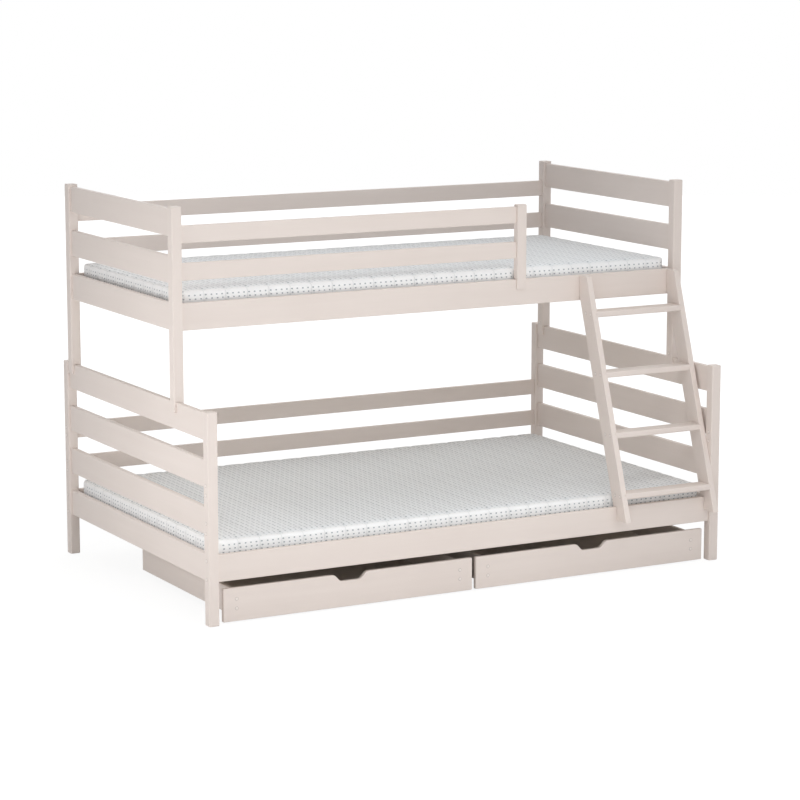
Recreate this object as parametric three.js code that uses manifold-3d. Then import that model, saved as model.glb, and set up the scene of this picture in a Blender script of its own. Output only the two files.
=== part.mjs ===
// Bunk bed with drawers, in millimetres, +Z up.
// A narrow upper bunk stands on the end boards of a wider lower bed. Slotted feet on the four upper
// posts straddle the top end boards. A leaning ladder hooks over the lower rail, and two drawers
// roll out from under the lower bed on wheelsets.
import * as THREE from 'three';
import { mergeVertices } from 'three/addons/utils/BufferGeometryUtils.js';
import Module from 'manifold-3d';

const wasm = await Module();
wasm.setup();

// Overall sizes
const BED_LENGTH = 2080;
const LOWER_WIDTH = 1280;
const UPPER_WIDTH = 965;
const UPPER_BACK_SETBACK = 8.5; // between the upper back posts and the lower back posts

// Posts and boards
const POST = 38;
const BOARD_THICKNESS = 19;
const BOARD_HEIGHT = 94;
const GUARD_HEIGHT = 60;
const LOWER_POST_RISE = 7; // above the top end board between them
const UPPER_POST_RISE = 9; // above the top end board between them
const BRIDLE_DEPTH = 35; // how far the slotted feet reach down over the lower end board
const POST_EDGE = 4.5;
const POST_END_BEVEL = 2.5;
const BOARD_EDGE = 2.5;

// Heights of the boards' lower edges
const LOWER_RAIL_BOTTOM = 150;
const UPPER_RAIL_BOTTOM = 971;
const END_PITCH = 161;
const LOWER_END_BOARDS = 4;
const UPPER_END_BOARDS = 3;
const BACK_GUARD_RISE_LOWER = 162; // above the lower rail's bottom edge
const BACK_GUARD_RISE_UPPER = 159; // above the upper rail's bottom edge
const FRONT_GUARD_RISE = 171; // above the upper rail's bottom edge
const GUARD_PITCH = 128;
const GUARD_COUNT = 2;

// Front guard and the way in beside it
const ENTRY_WIDTH = 641;
const GUARD_POST_RISE = 8; // above the top guard rail
const GUARD_POST_LAP = 34; // how far its lap hangs over the rail's front face

// Slats, the ledges that carry them, and mattresses
const LEDGE_WIDTH = 22;
const LEDGE_HEIGHT = 25;
const SLAT_COUNT = 14;
const SLAT_WIDTH = 70;
const SLAT_THICKNESS = 18;
const SLAT_EDGE = 2.5;
const SLAT_END_GAP = 1;
const TAPE_WIDTH = 22;
const TAPE_THICKNESS = 1.2;
const TAPE_INSET = 170;
const MATTRESS_HEIGHT = 90;
const MATTRESS_END_GAP = 11.5; // to the end boards
const MATTRESS_SIDE_GAP = 4; // to the side rails
const MATTRESS_LADDER_GAP = 2; // from the lower mattress to the ladder's back edge
const MATTRESS_CROWN = 3;
const MATTRESS_DRAW_IN = 3;
const MATTRESS_CORNER = 45;
const MATTRESS_ROLL = 14; // rounding of its top and bottom edges

// Ladder
const LADDER_WIDTH = 407;
const STILE_THICKNESS = 22;
const STILE_DEPTH = 72; // measured level, from front edge to back edge
const STILE_SEAT = 23; // width of the step that sits on the lower rail
const STILE_HOOK = 48; // how far its toe hangs below the top of the lower rail
const STILE_CUT_RISE = 20; // where its back edge meets the upper rail, above that rail's bottom
const STILE_TOP_RADIUS = 12;
const STILE_EDGE = 2;
const HOUSING_DEPTH = 6; // how far the treads are let into the stiles
const TREAD_COUNT = 4;
const TREAD_DEPTH = 62;
const TREAD_THICKNESS = 22;
const TREAD_EDGE = 5;
const FIRST_TREAD_RISE = 42; // centre of the lowest tread above the lower rail
const LAST_TREAD_DROP = 137; // centre of the highest tread below the top of the upper rail

// Drawers
const DRAWER_FRONT_SETBACK = 18; // behind the front faces of the lower posts
const DRAWER_POST_GAP = 22;
const DRAWER_GAP = 15;
const DRAWER_FRONT_BOTTOM = 5;
const DRAWER_FRONT_HEIGHT = 116.5;
const DRAWER_FRONT_THICKNESS = 16;
const DRAWER_FRONT_EDGE = 2;
const DRAWER_SIDE_BOTTOM = 20;
const DRAWER_SIDE_HEIGHT = 93;
const DRAWER_WALL = 16;
const DRAWER_SIDE_INSET = 42; // from the end of the front to the side's outer face
const DRAWER_LENGTH = 782; // from the front face to the back ends of the sides
const DRAWER_TRAVEL = 620;
const DRAWER_PANEL = 6;
const GROOVE_DEPTH = 6;
const PULL_TOP_WIDTH = 124;
const PULL_FLAT_WIDTH = 80;
const PULL_DEPTH = 25;
const PULL_RADIUS = 21;

// Wheelsets
const WHEEL_RADIUS = 15;
const WHEEL_WIDTH = 14;
const WHEEL_RIM = 2;
const WHEEL_CLEARANCE = 2.7; // from the wheels up to the drawer's bottom panel
const WHEEL_INSET = 39; // from the side's outer face to the wheel
const AXLE_RADIUS = 4;
const AXLE_CLEARANCE = 0.4;
const HUB_RADIUS = 8;
const HUB_LENGTH = 3;
const BEARING_WIDTH = 16;
const BEARING_DEPTH = 30;
const BEARING_BOTTOM = 7;
const BEARING_GAP = 1;
const AXLE_SETBACK_FRONT = 90;
const AXLE_SETBACK_BACK = 90;

// Clearances
const JOINT_GAP = 0.3; // between boards and what they butt against
const FLOOR_GAP = 0.3; // wheels stand this much short of the floor

// Derived places
const boardInset = (POST - BOARD_THICKNESS) / 2;
const upperFront = LOWER_WIDTH - POST - UPPER_BACK_SETBACK - UPPER_WIDTH;
const upperBack = upperFront + UPPER_WIDTH;
const lowerRailTop = LOWER_RAIL_BOTTOM + BOARD_HEIGHT;
const upperRailTop = UPPER_RAIL_BOTTOM + BOARD_HEIGHT;
const bridleBoardTop = LOWER_RAIL_BOTTOM + (LOWER_END_BOARDS - 1) * END_PITCH + BOARD_HEIGHT;
const lowerPostTop = bridleBoardTop + LOWER_POST_RISE;
const upperPostTop = UPPER_RAIL_BOTTOM + (UPPER_END_BOARDS - 1) * END_PITCH + BOARD_HEIGHT
  + UPPER_POST_RISE;
const guardPostTop = UPPER_RAIL_BOTTOM + FRONT_GUARD_RISE + (GUARD_COUNT - 1) * GUARD_PITCH
  + GUARD_HEIGHT + GUARD_POST_RISE;
const railFront = boardInset;
const upperRailFront = upperFront + boardInset;
const innerEnd = boardInset + BOARD_THICKNESS;

// The ladder leans between the back edge of its lower step and the front face of the upper rail.
const lean = (upperRailFront - (railFront + STILE_SEAT))
  / (UPPER_RAIL_BOTTOM + STILE_CUT_RISE - lowerRailTop);
const stileBackAt = (z) => railFront + STILE_SEAT + (z - lowerRailTop) * lean;
const stileFrontAt = (z) => stileBackAt(z) - STILE_DEPTH;
const ladderToe = stileFrontAt(lowerRailTop - STILE_HOOK);
const ladderRight = BED_LENGTH - POST - JOINT_GAP;

const bed = new THREE.Group();
bed.position.set(-BED_LENGTH / 2, -(ladderToe + LOWER_WIDTH) / 2, 0);

const PAINT = { color: 0xe3dad2, roughness: 0.45, metalness: 0 };
const SLAT_WOOD = { color: 0xd9b98a, roughness: 0.7, metalness: 0 };
const PANEL_WOOD = { color: 0xcdb391, roughness: 0.65, metalness: 0 };
const KNIT = { color: 0xe9edee, roughness: 0.95, metalness: 0 };
const WHEEL = { color: 0x3a3a3c, roughness: 0.5, metalness: 0 };

function add(name, geometry, look, x = 0, y = 0, z = 0) {
  const mesh = new THREE.Mesh(geometry, new THREE.MeshStandardMaterial(look));
  mesh.name = name;
  mesh.position.set(x, y, z);
  bed.add(mesh);
}

// Solids for joining and cutting

function toSolid(geometry) {
  const bare = geometry.clone();
  bare.deleteAttribute('normal');
  bare.deleteAttribute('uv');
  const merged = mergeVertices(bare, 1e-4);
  return new wasm.Manifold(new wasm.Mesh({
    numProp: 3,
    vertProperties: new Float32Array(merged.attributes.position.array),
    triVerts: new Uint32Array(merged.index.array),
  }));
}

function toGeometry(solid) {
  const mesh = solid.getMesh();
  const geometry = new THREE.BufferGeometry();
  geometry.setAttribute('position', new THREE.BufferAttribute(mesh.vertProperties, 3));
  geometry.setIndex(new THREE.BufferAttribute(mesh.triVerts, 1));
  return geometry;
}

function boxAt(x0, x1, y0, y1, z0, z1) {
  const box = new THREE.BoxGeometry(x1 - x0, y1 - y0, z1 - z0);
  return box.translate((x0 + x1) / 2, (y0 + y1) / 2, (z0 + z1) / 2);
}

// Outlines and prisms

const AXIS = {
  x: new THREE.Vector3(1, 0, 0),
  y: new THREE.Vector3(0, 1, 0),
  z: new THREE.Vector3(0, 0, 1),
};
// For a prism along an axis, the directions of the outline's own x and y and of its length.
const ALONG = {
  x: new THREE.Matrix4().makeBasis(AXIS.y, AXIS.z, AXIS.x),
  y: new THREE.Matrix4().makeBasis(AXIS.z, AXIS.x, AXIS.y),
  z: new THREE.Matrix4().makeBasis(AXIS.x, AXIS.y, AXIS.z),
  front: new THREE.Matrix4().makeBasis(AXIS.x, AXIS.z, AXIS.y.clone().negate()),
};

// A closed outline from corner points [x, y, radius], each corner rounded with short steps.
function roundedOutline(corners, steps = 2) {
  const points = [];
  corners.forEach(([x, y, radius], i) => {
    const here = new THREE.Vector2(x, y);
    if (!radius) {
      points.push(here);
      return;
    }
    const [px, py] = corners[(i + corners.length - 1) % corners.length];
    const [nx, ny] = corners[(i + 1) % corners.length];
    const back = new THREE.Vector2(px - x, py - y).normalize();
    const ahead = new THREE.Vector2(nx - x, ny - y).normalize();
    const half = Math.acos(THREE.MathUtils.clamp(back.dot(ahead), -1, 1)) / 2;
    const centre = back.clone().add(ahead).normalize()
      .multiplyScalar(radius / Math.sin(half)).add(here);
    const start = here.clone().addScaledVector(back, radius / Math.tan(half)).sub(centre);
    const turn = (Math.PI - 2 * half) * Math.sign(ahead.cross(back));
    for (let k = 0; k <= steps; k += 1) {
      const p = start.clone().rotateAround(new THREE.Vector2(), (turn * k) / steps);
      points.push(p.add(centre));
    }
  });
  return new THREE.Shape(points);
}

function roundedRect(width, height, radius) {
  return roundedOutline([[0, 0, radius], [width, 0, radius],
    [width, height, radius], [0, height, radius]]);
}

function prism(outline, length, along, bevel = 0) {
  const geometry = new THREE.ExtrudeGeometry(outline, {
    depth: length - 2 * bevel,
    bevelEnabled: bevel > 0,
    bevelThickness: bevel,
    bevelSize: bevel,
    bevelOffset: -bevel,
    bevelSegments: 2,
    curveSegments: 8,
  });
  return geometry.translate(0, 0, bevel).applyMatrix4(ALONG[along]);
}

// Posts

function lowerPost() {
  return prism(roundedRect(POST, POST, POST_EDGE), lowerPostTop, 'z', POST_END_BEVEL);
}

// The upper post's foot has a slot that straddles the lower end board.
function upperPost() {
  const foot = bridleBoardTop - BRIDLE_DEPTH;
  const shaft = prism(roundedRect(POST, POST, POST_EDGE), upperPostTop - foot, 'z', POST_END_BEVEL)
    .translate(0, 0, foot);
  const slot = boxAt(boardInset - JOINT_GAP, innerEnd + JOINT_GAP, -POST, 2 * POST,
    foot - POST, bridleBoardTop + JOINT_GAP);
  return toGeometry(toSolid(shaft).subtract(toSolid(slot)));
}

const ENDS = { left: 0, right: BED_LENGTH - POST };
const LOWER_SIDES = { front: 0, back: LOWER_WIDTH - POST };
const UPPER_SIDES = { front: upperFront, back: upperBack - POST };

for (const [end, x] of Object.entries(ENDS)) {
  for (const [side, y] of Object.entries(LOWER_SIDES)) {
    add(`lower_post_${side}_${end}`, lowerPost(), PAINT, x, y);
  }
  for (const [side, y] of Object.entries(UPPER_SIDES)) {
    add(`upper_post_${side}_${end}`, upperPost(), PAINT, x, y);
  }
}

// End boards, centred in the posts

function endBoard(length) {
  return prism(roundedRect(BOARD_HEIGHT, BOARD_THICKNESS, BOARD_EDGE), length, 'y');
}

for (const [end, x] of Object.entries(ENDS)) {
  for (let i = 0; i < LOWER_END_BOARDS; i += 1) {
    add(`lower_end_board_${end}_${i + 1}`, endBoard(LOWER_WIDTH - 2 * (POST + JOINT_GAP)), PAINT,
      x + boardInset, POST + JOINT_GAP, LOWER_RAIL_BOTTOM + i * END_PITCH);
  }
  for (let i = 0; i < UPPER_END_BOARDS; i += 1) {
    add(`upper_end_board_${end}_${i + 1}`, endBoard(UPPER_WIDTH - 2 * (POST + JOINT_GAP)), PAINT,
      x + boardInset, upperFront + POST + JOINT_GAP, UPPER_RAIL_BOTTOM + i * END_PITCH);
  }
}

// Side rails. Each carries a glued ledge along its inner face for the slats.

function sideRail(inward) {
  const edge = BOARD_EDGE;
  const inner = BOARD_THICKNESS + LEDGE_WIDTH;
  const corners = [[0, 0, edge], [inner, 0, edge], [inner, LEDGE_HEIGHT, edge],
    [BOARD_THICKNESS, LEDGE_HEIGHT, 0], [BOARD_THICKNESS, BOARD_HEIGHT, edge],
    [0, BOARD_HEIGHT, edge]];
  const facing = inward > 0 ? corners
    : corners.map(([x, y, radius]) => [BOARD_THICKNESS - x, y, radius]).reverse();
  return prism(roundedOutline(facing), railLength, 'x');
}

const railLength = BED_LENGTH - 2 * (POST + JOINT_GAP);
const railStart = POST + JOINT_GAP;
const backFace = (outerBack) => outerBack - innerEnd;

add('lower_front_rail', sideRail(1), PAINT, railStart, railFront, LOWER_RAIL_BOTTOM);
add('lower_back_rail', sideRail(-1), PAINT, railStart, backFace(LOWER_WIDTH), LOWER_RAIL_BOTTOM);
add('upper_front_rail', sideRail(1), PAINT, railStart, upperRailFront, UPPER_RAIL_BOTTOM);
add('upper_back_rail', sideRail(-1), PAINT, railStart, backFace(upperBack), UPPER_RAIL_BOTTOM);

// Guard rails: two behind each bed, and two in front of the upper one that end at the guard post

function guardRail(length) {
  return prism(roundedRect(BOARD_THICKNESS, GUARD_HEIGHT, BOARD_EDGE), length, 'x');
}

const guardPostLeft = BED_LENGTH - POST - ENTRY_WIDTH - POST;

for (let i = 0; i < GUARD_COUNT; i += 1) {
  const rise = i * GUARD_PITCH;
  add(`lower_back_guard_${i + 1}`, guardRail(railLength), PAINT, railStart,
    backFace(LOWER_WIDTH), LOWER_RAIL_BOTTOM + BACK_GUARD_RISE_LOWER + rise);
  add(`upper_back_guard_${i + 1}`, guardRail(railLength), PAINT, railStart,
    backFace(upperBack), UPPER_RAIL_BOTTOM + BACK_GUARD_RISE_UPPER + rise);
  add(`front_guard_${i + 1}`, guardRail(guardPostLeft - railStart - JOINT_GAP), PAINT, railStart,
    upperRailFront, UPPER_RAIL_BOTTOM + FRONT_GUARD_RISE + rise);
}

// The guard post stands on the rail, and its front half laps down over the rail's front face.
function guardPost() {
  const lap = boardInset - JOINT_GAP;
  const seat = upperRailTop + JOINT_GAP;
  const outline = roundedOutline([[0, upperRailTop - GUARD_POST_LAP, 0],
    [lap, upperRailTop - GUARD_POST_LAP, 0], [lap, seat, 0], [innerEnd, seat, 0],
    [innerEnd, guardPostTop, POST_EDGE], [0, guardPostTop, POST_EDGE]]);
  return prism(outline, POST, 'x', POST_END_BEVEL);
}

add('guard_post', guardPost(), PAINT, guardPostLeft, upperFront);

// Slats, held at their spacing by two tapes stapled underneath

const bedding = innerEnd + MATTRESS_END_GAP; // where slats and mattresses start along the bed
const mattressLength = BED_LENGTH - 2 * bedding;
const slatRise = LEDGE_HEIGHT + JOINT_GAP;
const slatStart = innerEnd + SLAT_END_GAP;

function slatRoll(width) {
  const length = width - 2 * slatStart;
  const pitch = (mattressLength - SLAT_WIDTH) / (SLAT_COUNT - 1);
  const slat = prism(roundedRect(SLAT_THICKNESS, SLAT_WIDTH, SLAT_EDGE), length, 'y');
  let roll = null;
  for (let i = 0; i < SLAT_COUNT; i += 1) {
    const solid = toSolid(slat.clone().translate(i * pitch, 0, 0));
    roll = roll ? roll.add(solid) : solid;
  }
  for (const y of [TAPE_INSET, length - TAPE_INSET - TAPE_WIDTH]) {
    roll = roll.add(toSolid(boxAt(SLAT_WIDTH / 2, mattressLength - SLAT_WIDTH / 2,
      y, y + TAPE_WIDTH, -TAPE_THICKNESS, TAPE_THICKNESS)));
  }
  return toGeometry(roll);
}

add('lower_slats', slatRoll(LOWER_WIDTH), SLAT_WOOD, bedding, slatStart,
  LOWER_RAIL_BOTTOM + slatRise);
add('upper_slats', slatRoll(UPPER_WIDTH), SLAT_WOOD, bedding, upperFront + slatStart,
  UPPER_RAIL_BOTTOM + slatRise);

// Mattresses: crowned on top, rounded edges, sides drawn in between the corners

function mattressRing(width, inset, z) {
  const ring = [];
  const shape = roundedOutline([[0, 0, MATTRESS_CORNER], [mattressLength, 0, MATTRESS_CORNER],
    [mattressLength, width, MATTRESS_CORNER], [0, width, MATTRESS_CORNER]], 5);
  const dense = [];
  const corners = shape.getPoints();
  corners.forEach((p, i) => {
    const next = corners[(i + 1) % corners.length];
    const pieces = p.distanceTo(next) > 4 * MATTRESS_CORNER ? 8 : 1;
    for (let k = 0; k < pieces; k += 1) dense.push(p.clone().lerp(next, k / pieces));
  });
  const centre = new THREE.Vector2(mattressLength / 2, width / 2);
  for (const p of dense) {
    const u = (p.x - centre.x) / centre.x;
    const v = (p.y - centre.y) / centre.y;
    const pull = MATTRESS_DRAW_IN;
    const x = centre.x + u * (centre.x - inset - pull * (1 - v * v));
    const y = centre.y + v * (centre.y - inset - pull * (1 - u * u));
    ring.push([x, y, z]);
  }
  return ring;
}

function mattress(width) {
  const rings = [];
  const top = MATTRESS_HEIGHT - MATTRESS_CROWN;
  const rollAt = (angle) => MATTRESS_ROLL * (1 - Math.cos(angle));
  for (const degrees of [90, 60, 30, 0]) {
    const angle = THREE.MathUtils.degToRad(degrees);
    rings.push(mattressRing(width, rollAt(angle), MATTRESS_ROLL * (1 - Math.sin(angle))));
  }
  for (const degrees of [0, 30, 60, 90]) {
    const angle = THREE.MathUtils.degToRad(degrees);
    rings.push(mattressRing(width, rollAt(angle), top - MATTRESS_ROLL * (1 - Math.sin(angle))));
  }
  for (const share of [0.15, 0.4]) {
    const crown = MATTRESS_CROWN * Math.sin((share / 0.5) * (Math.PI / 2));
    rings.push(mattressRing(width, MATTRESS_ROLL + share * width, top + crown));
  }
  return loft(rings, [mattressLength / 2, width / 2, 0],
    [mattressLength / 2, width / 2, MATTRESS_HEIGHT]);
}

// Skins a stack of rings, and closes both ends to a point.
function loft(rings, bottomPoint, topPoint) {
  const count = rings[0].length;
  const positions = [...rings.flat(), bottomPoint, topPoint].flat();
  const at = (ring, i) => ring * count + (i % count);
  const bottom = rings.length * count;
  const index = [];
  for (let r = 0; r < rings.length - 1; r += 1) {
    for (let i = 0; i < count; i += 1) {
      index.push(at(r, i), at(r, i + 1), at(r + 1, i + 1));
      index.push(at(r, i), at(r + 1, i + 1), at(r + 1, i));
    }
  }
  for (let i = 0; i < count; i += 1) {
    index.push(bottom, at(0, i + 1), at(0, i));
    index.push(bottom + 1, at(rings.length - 1, i), at(rings.length - 1, i + 1));
  }
  const geometry = new THREE.BufferGeometry();
  geometry.setAttribute('position', new THREE.Float32BufferAttribute(positions, 3));
  geometry.setIndex(index);
  return geometry;
}

const mattressRise = slatRise + SLAT_THICKNESS + JOINT_GAP;

function addMattress(name, front, back, railBottom) {
  add(name, mattress(back - front), KNIT, bedding, front, railBottom + mattressRise);
}

addMattress('lower_mattress',
  stileBackAt(LOWER_RAIL_BOTTOM + mattressRise + MATTRESS_HEIGHT) + MATTRESS_LADDER_GAP,
  backFace(LOWER_WIDTH) - MATTRESS_SIDE_GAP, LOWER_RAIL_BOTTOM);
addMattress('upper_mattress', upperFront + innerEnd + MATTRESS_SIDE_GAP,
  backFace(upperBack) - MATTRESS_SIDE_GAP, UPPER_RAIL_BOTTOM);

// Ladder. The stile's outline lies in the plane of Y and Z.

function treadSection(clearance) {
  return roundedRect(TREAD_DEPTH + 2 * clearance, TREAD_THICKNESS + 2 * clearance, TREAD_EDGE);
}

const treadSpan = LADDER_WIDTH - 2 * (STILE_THICKNESS - HOUSING_DEPTH + JOINT_GAP);
const firstTread = lowerRailTop + FIRST_TREAD_RISE;
const treadPitch = (upperRailTop - LAST_TREAD_DROP - firstTread) / (TREAD_COUNT - 1);
const treads = Array.from({ length: TREAD_COUNT }, (_, i) => {
  const z = firstTread + i * treadPitch;
  return { y: stileFrontAt(z), z: z - TREAD_THICKNESS / 2 };
});

function stileBlank() {
  const toe = lowerRailTop - STILE_HOOK;
  const step = lowerRailTop + JOINT_GAP;
  const againstLower = railFront - JOINT_GAP;
  const againstUpper = upperRailFront - JOINT_GAP;
  const meets = lowerRailTop + (againstUpper - stileBackAt(lowerRailTop)) / lean;
  return roundedOutline([[stileFrontAt(toe), toe, 0], [againstLower, toe, 0],
    [againstLower, step, 0], [stileBackAt(step), step, 0], [againstUpper, meets, 0],
    [againstUpper, upperRailTop, 0], [stileFrontAt(upperRailTop), upperRailTop, STILE_TOP_RADIUS]], 4);
}

// Housings are cut in the inner face, which is at the far side of a left stile.
function stile(innerIsFar) {
  let solid = toSolid(prism(stileBlank(), STILE_THICKNESS, 'x', STILE_EDGE));
  const start = innerIsFar ? STILE_THICKNESS - HOUSING_DEPTH : -HOUSING_DEPTH;
  const cutter = prism(treadSection(JOINT_GAP), 2 * HOUSING_DEPTH, 'x');
  for (const { y, z } of treads) {
    const cut = cutter.clone().translate(start, y - JOINT_GAP, z - JOINT_GAP);
    solid = solid.subtract(toSolid(cut));
  }
  return toGeometry(solid);
}

const ladderLeft = ladderRight - LADDER_WIDTH;
add('ladder_stile_left', stile(true), PAINT, ladderLeft);
add('ladder_stile_right', stile(false), PAINT, ladderRight - STILE_THICKNESS);
treads.forEach(({ y, z }, i) => {
  add(`ladder_tread_${i + 1}`, prism(treadSection(0), treadSpan, 'x'), PAINT,
    ladderLeft + STILE_THICKNESS - HOUSING_DEPTH + JOINT_GAP, y, z);
});

// Drawers

const frontWidth = (BED_LENGTH - 2 * (POST + DRAWER_POST_GAP) - DRAWER_GAP) / 2;
const boxWidth = frontWidth - 2 * DRAWER_SIDE_INSET;
const frontBack = DRAWER_FRONT_SETBACK + DRAWER_FRONT_THICKNESS;
const boxEnd = DRAWER_FRONT_SETBACK + DRAWER_LENGTH;
const wallTop = DRAWER_SIDE_BOTTOM + DRAWER_SIDE_HEIGHT;
const panelBottom = FLOOR_GAP + 2 * WHEEL_RADIUS + WHEEL_CLEARANCE;
const grooveBottom = panelBottom - JOINT_GAP;
const grooveTop = panelBottom + DRAWER_PANEL + JOINT_GAP;
const axleHeight = FLOOR_GAP + WHEEL_RADIUS;

// The front has a finger pull cut out of its top edge and a groove for the bottom panel.
function drawerFront() {
  const middle = frontWidth / 2;
  const pullFloor = DRAWER_FRONT_HEIGHT - PULL_DEPTH;
  const outline = roundedOutline([[0, 0, DRAWER_FRONT_EDGE + 1],
    [frontWidth, 0, DRAWER_FRONT_EDGE + 1],
    [frontWidth, DRAWER_FRONT_HEIGHT, DRAWER_FRONT_EDGE + 1],
    [middle + PULL_TOP_WIDTH / 2, DRAWER_FRONT_HEIGHT, PULL_RADIUS],
    [middle + PULL_FLAT_WIDTH / 2, pullFloor, PULL_RADIUS],
    [middle - PULL_FLAT_WIDTH / 2, pullFloor, PULL_RADIUS],
    [middle - PULL_TOP_WIDTH / 2, DRAWER_FRONT_HEIGHT, PULL_RADIUS],
    [0, DRAWER_FRONT_HEIGHT, DRAWER_FRONT_EDGE + 1]], 4);
  const board = prism(outline, DRAWER_FRONT_THICKNESS, 'front', DRAWER_FRONT_EDGE)
    .translate(0, frontBack, DRAWER_FRONT_BOTTOM);
  const groove = boxAt(DRAWER_SIDE_INSET + DRAWER_WALL - GROOVE_DEPTH,
    frontWidth - DRAWER_SIDE_INSET - DRAWER_WALL + GROOVE_DEPTH,
    frontBack - GROOVE_DEPTH, frontBack + GROOVE_DEPTH, grooveBottom, grooveTop);
  return toGeometry(toSolid(board).subtract(toSolid(groove)));
}

// A side's section, with the groove in its inner face. The outline's x is height and its y is X.
function drawerSide(grooveIsFar) {
  const deep = grooveIsFar ? DRAWER_WALL - GROOVE_DEPTH : GROOVE_DEPTH;
  const face = grooveIsFar ? DRAWER_WALL : 0;
  const low = grooveBottom - DRAWER_SIDE_BOTTOM;
  const high = grooveTop - DRAWER_SIDE_BOTTOM;
  const edge = DRAWER_FRONT_EDGE;
  const groove = [[high, face, 0], [high, deep, 0], [low, deep, 0], [low, face, 0]];
  const near = grooveIsFar ? [] : groove.slice().reverse();
  const far = grooveIsFar ? groove : [];
  const outline = roundedOutline([[0, 0, edge], ...near, [DRAWER_SIDE_HEIGHT, 0, edge],
    [DRAWER_SIDE_HEIGHT, DRAWER_WALL, edge], ...far, [0, DRAWER_WALL, edge]]);
  return prism(outline, boxEnd - frontBack - JOINT_GAP, 'y');
}

// The back stands on the bottom panel, which slides in under it.
function drawerBack() {
  const height = wallTop - grooveTop;
  return prism(roundedRect(DRAWER_WALL, height, DRAWER_FRONT_EDGE),
    boxWidth - 2 * (DRAWER_WALL + JOINT_GAP), 'x');
}

const bearingStarts = [WHEEL_INSET + WHEEL_WIDTH + HUB_LENGTH + BEARING_GAP,
  boxWidth - WHEEL_INSET - WHEEL_WIDTH - HUB_LENGTH - BEARING_GAP - BEARING_WIDTH];
const axlePlaces = { front: frontBack + AXLE_SETBACK_FRONT, back: boxEnd - AXLE_SETBACK_BACK };

function bearing() {
  const centre = BEARING_DEPTH / 2;
  const outline = roundedOutline([[0, panelBottom + DRAWER_PANEL / 2, 0],
    [0, BEARING_BOTTOM, 5], [BEARING_DEPTH, BEARING_BOTTOM, 5],
    [BEARING_DEPTH, panelBottom + DRAWER_PANEL / 2, 0]], 3);
  const hole = new THREE.Path();
  hole.absarc(centre, axleHeight, AXLE_RADIUS + AXLE_CLEARANCE, 0, 2 * Math.PI, true);
  outline.holes.push(hole);
  return prism(outline, BEARING_WIDTH, 'x');
}

// The bottom panel runs in the grooves, with four bearing blocks fixed under it.
function drawerBottom() {
  const reach = DRAWER_WALL - GROOVE_DEPTH + JOINT_GAP;
  let solid = toSolid(boxAt(reach, boxWidth - reach, frontBack - GROOVE_DEPTH + JOINT_GAP, boxEnd,
    panelBottom, panelBottom + DRAWER_PANEL));
  for (const x of bearingStarts) {
    for (const y of Object.values(axlePlaces)) {
      solid = solid.add(toSolid(bearing().translate(x, y - BEARING_DEPTH / 2, 0)));
    }
  }
  return toGeometry(solid);
}

// Two wheels fast on one steel axle, turned about the X axis
function wheelset() {
  const end = boxWidth / 2 - WHEEL_INSET;
  const inner = end - WHEEL_WIDTH;
  const rim = WHEEL_RADIUS - WHEEL_RIM;
  const right = [[AXLE_RADIUS, inner - HUB_LENGTH], [HUB_RADIUS, inner - HUB_LENGTH],
    [HUB_RADIUS, inner], [rim, inner], [WHEEL_RADIUS, inner + WHEEL_RIM],
    [WHEEL_RADIUS, end - WHEEL_RIM], [rim, end], [0, end]];
  const left = right.map(([r, x]) => [r, -x]).reverse();
  const points = [...left, ...right].map(([r, x]) => new THREE.Vector2(r, x));
  return new THREE.LatheGeometry(points, 24).rotateZ(-Math.PI / 2);
}

const drawerStarts = {
  left: POST + DRAWER_POST_GAP,
  right: BED_LENGTH - POST - DRAWER_POST_GAP - frontWidth,
};

for (const [name, x] of Object.entries(drawerStarts)) {
  const boxLeft = x + DRAWER_SIDE_INSET;
  const sideStart = frontBack + JOINT_GAP;
  add(`${name}_drawer_front`, drawerFront(), PAINT, x);
  add(`${name}_drawer_side_left`, drawerSide(true), PAINT, boxLeft, sideStart, DRAWER_SIDE_BOTTOM);
  add(`${name}_drawer_side_right`, drawerSide(false), PAINT, boxLeft + boxWidth - DRAWER_WALL,
    sideStart, DRAWER_SIDE_BOTTOM);
  add(`${name}_drawer_back`, drawerBack(), PAINT, boxLeft + DRAWER_WALL + JOINT_GAP,
    boxEnd - DRAWER_WALL, grooveTop);
  add(`${name}_drawer_bottom`, drawerBottom(), PANEL_WOOD, boxLeft);
  for (const [place, y] of Object.entries(axlePlaces)) {
    add(`${name}_drawer_wheelset_${place}`, wheelset(), WHEEL, boxLeft + boxWidth / 2, y, axleHeight);
  }
}

export default bed;
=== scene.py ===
# %% [markdown]
# A painted wooden bunk bed. The measured frame is loaded first. Every board of it already has its
# true size and place, so this lesson gives those boards their paint, and then adds what rigid
# solids cannot show: the two knit-covered mattresses, the plugs over the fixings, and the light.

# %% Load the measured frame
import math
import bpy
import numpy as np
from mathutils import Matrix, Vector


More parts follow.
